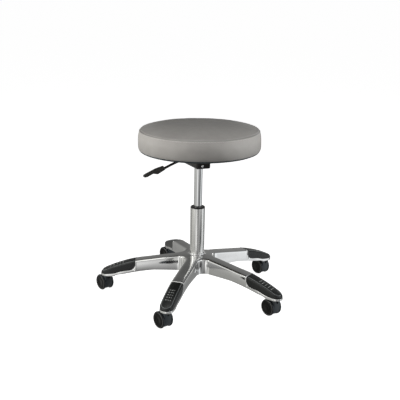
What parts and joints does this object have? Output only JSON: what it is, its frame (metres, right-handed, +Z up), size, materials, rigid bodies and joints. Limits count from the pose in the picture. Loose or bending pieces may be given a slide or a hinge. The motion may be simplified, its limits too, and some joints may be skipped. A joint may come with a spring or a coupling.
{
  "type": "dentist stool",
  "caption": "Round upholstered dentist stool with gas height adjustment, a side release lever, a polished star base with black foot rests and twin-wheel casters.",
  "frame": {"origin": "on the floor, at the centre of the footprint's bounding box; the swivel axis stands at x 0.0400, y -0.0135", "axes": "+Z up along the swivel axis, towards the seat; -Y towards the viewer of the front, with arm 1 pointing along -X"},
  "size_m": [0.6332, 0.6666, 0.6025],
  "materials": {
    "vinyl": "satin",
    "foam": "matte",
    "plywood": "matte",
    "dust_cloth": "matte",
    "black_steel": "satin",
    "zinc_steel": "satin",
    "chrome": "polished",
    "tube_steel": "satin",
    "cast_aluminium": "polished",
    "black_plastic": "gloss",
    "pad_rubber": "satin",
    "bumper_rubber": "matte"
  },
  "bodies": {
    "base": {"base_casting": "cast_aluminium", "foot_pad_1": "pad_rubber", "foot_pad_2": "pad_rubber", "foot_pad_3": "pad_rubber", "foot_pad_4": "pad_rubber", "foot_pad_5": "pad_rubber", "column_tube": "tube_steel", "guide_bushing": "black_plastic", "thrust_washer_lower": "zinc_steel", "caster_stem_1": "zinc_steel", "caster_stem_2": "zinc_steel", "caster_stem_3": "zinc_steel", "caster_stem_4": "zinc_steel", "caster_stem_5": "zinc_steel"},
    "spindle": {"piston_rod": "chrome", "piston_head": "tube_steel", "thrust_washer_upper": "zinc_steel", "retaining_clip": "zinc_steel", "bumper": "bumper_rubber"},
    "bearing_cage": {"thrust_bearing_cage": "zinc_steel"},
    "seat": {"gas_cylinder": "chrome", "cylinder_rod_guide": "black_plastic", "taper_socket": "zinc_steel", "mechanism_housing": "black_steel", "housing_bolt": "zinc_steel", "lever_pivot_pin": "zinc_steel", "mounting_plate": "black_steel", "seat_board": "plywood", "seat_screw_1": "zinc_steel", "seat_screw_2": "zinc_steel", "seat_screw_3": "zinc_steel", "seat_screw_4": "zinc_steel", "seat_foam": "foam", "seat_cover": "vinyl", "dust_cover": "dust_cloth"},
    "lever": {"lever_rod": "black_steel", "lever_handle": "black_plastic"},
    "release_pin": {"release_pin": "zinc_steel"},
    "caster_1": {"caster_hood_1": "black_plastic", "caster_axle_1": "zinc_steel"},
    "wheel_left_1": {"caster_wheel_left_1": "black_plastic"},
    "wheel_right_1": {"caster_wheel_right_1": "black_plastic"},
    "caster_2": {"caster_hood_2": "black_plastic", "caster_axle_2": "zinc_steel"},
    "wheel_left_2": {"caster_wheel_left_2": "black_plastic"},
    "wheel_right_2": {"caster_wheel_right_2": "black_plastic"},
    "caster_3": {"caster_hood_3": "black_plastic", "caster_axle_3": "zinc_steel"},
    "wheel_left_3": {"caster_wheel_left_3": "black_plastic"},
    "wheel_right_3": {"caster_wheel_right_3": "black_plastic"},
    "caster_4": {"caster_hood_4": "black_plastic", "caster_axle_4": "zinc_steel"},
    "wheel_left_4": {"caster_wheel_left_4": "black_plastic"},
    "wheel_right_4": {"caster_wheel_right_4": "black_plastic"},
    "caster_5": {"caster_hood_5": "black_plastic", "caster_axle_5": "zinc_steel"},
    "wheel_left_5": {"caster_wheel_left_5": "black_plastic"},
    "wheel_right_5": {"caster_wheel_right_5": "black_plastic"}
  },
  "joints": [
    {"name": "seat_swivel", "type": "hinge", "parent": "base", "child": "spindle", "pos_m": [0.04, -0.0135, 0.0862], "axis": [0, 0, 1], "continuous": true},
    {"name": "bearing_roll", "type": "hinge", "parent": "base", "child": "bearing_cage", "pos_m": [0.04, -0.0135, 0.0841], "axis": [0, 0, 1], "continuous": true},
    {"name": "seat_lift", "type": "slide", "parent": "spindle", "child": "seat", "axis": [0, 0, 1], "range_m": [-0.138, 0]},
    {"name": "lever_pull", "type": "hinge", "parent": "seat", "child": "lever", "pos_m": [0.02771, -0.01773, 0.494], "axis": [-0.3256, 0.9455, 0], "range_deg": [0, 9]},
    {"name": "release_pin_press", "type": "slide", "parent": "seat", "child": "release_pin", "axis": [0, 0, 1], "range_m": [-0.0022, 0]},
    {"name": "caster_swivel_1", "type": "hinge", "parent": "base", "child": "caster_1", "pos_m": [-0.275, -0.0135, 0.05], "axis": [0, 0, 1], "continuous": true},
    {"name": "wheel_left_spin_1", "type": "hinge", "parent": "caster_1", "child": "wheel_left_1", "pos_m": [-0.2862, 0.00059, 0.028], "axis": [0.7826, 0.6225, 0], "continuous": true},
    {"name": "wheel_right_spin_1", "type": "hinge", "parent": "caster_1", "child": "wheel_right_1", "pos_m": [-0.2862, 0.00059, 0.028], "axis": [0.7826, 0.6225, 0], "continuous": true},
    {"name": "caster_swivel_2", "type": "hinge", "parent": "base", "child": "caster_2", "pos_m": [-0.05734, -0.31308, 0.05], "axis": [0, 0, 1], "continuous": true},
    {"name": "wheel_left_spin_2", "type": "hinge", "parent": "caster_2", "child": "wheel_left_2", "pos_m": [-0.06855, -0.299, 0.028], "axis": [0.7826, 0.6225, 0], "continuous": true},
    {"name": "wheel_right_spin_2", "type": "hinge", "parent": "caster_2", "child": "wheel_right_2", "pos_m": [-0.06855, -0.299, 0.028], "axis": [0.7826, 0.6225, 0], "continuous": true},
    {"name": "caster_swivel_3", "type": "hinge", "parent": "base", "child": "caster_3", "pos_m": [0.29484, -0.19865, 0.05], "axis": [0, 0, 1], "continuous": true},
    {"name": "wheel_left_spin_3", "type": "hinge", "parent": "caster_3", "child": "wheel_left_3", "pos_m": [0.28364, -0.18457, 0.028], "axis": [0.7826, 0.6225, 0], "continuous": true},
    {"name": "wheel_right_spin_3", "type": "hinge", "parent": "caster_3", "child": "wheel_right_3", "pos_m": [0.28364, -0.18457, 0.028], "axis": [0.7826, 0.6225, 0], "continuous": true},
    {"name": "caster_swivel_4", "type": "hinge", "parent": "base", "child": "caster_4", "pos_m": [0.29484, 0.17165, 0.05], "axis": [0, 0, 1], "continuous": true},
    {"name": "wheel_left_spin_4", "type": "hinge", "parent": "caster_4", "child": "wheel_left_4", "pos_m": [0.28364, 0.18574, 0.028], "axis": [0.7826, 0.6225, 0], "continuous": true},
    {"name": "wheel_right_spin_4", "type": "hinge", "parent": "caster_4", "child": "wheel_right_4", "pos_m": [0.28364, 0.18574, 0.028], "axis": [0.7826, 0.6225, 0], "continuous": true},
    {"name": "caster_swivel_5", "type": "hinge", "parent": "base", "child": "caster_5", "pos_m": [-0.05734, 0.28608, 0.05], "axis": [0, 0, 1], "continuous": true},
    {"name": "wheel_left_spin_5", "type": "hinge", "parent": "caster_5", "child": "wheel_left_5", "pos_m": [-0.06855, 0.30017, 0.028], "axis": [0.7826, 0.6225, 0], "continuous": true},
    {"name": "wheel_right_spin_5", "type": "hinge", "parent": "caster_5", "child": "wheel_right_5", "pos_m": [-0.06855, 0.30017, 0.028], "axis": [0.7826, 0.6225, 0], "continuous": true}
  ],
  "couplings": [
    {"joint": "bearing_roll", "follows": "seat_swivel", "ratio": 0.5},
    {"joint": "release_pin_press", "follows": "lever_pull", "m_per_rad": -0.013}
  ]
}
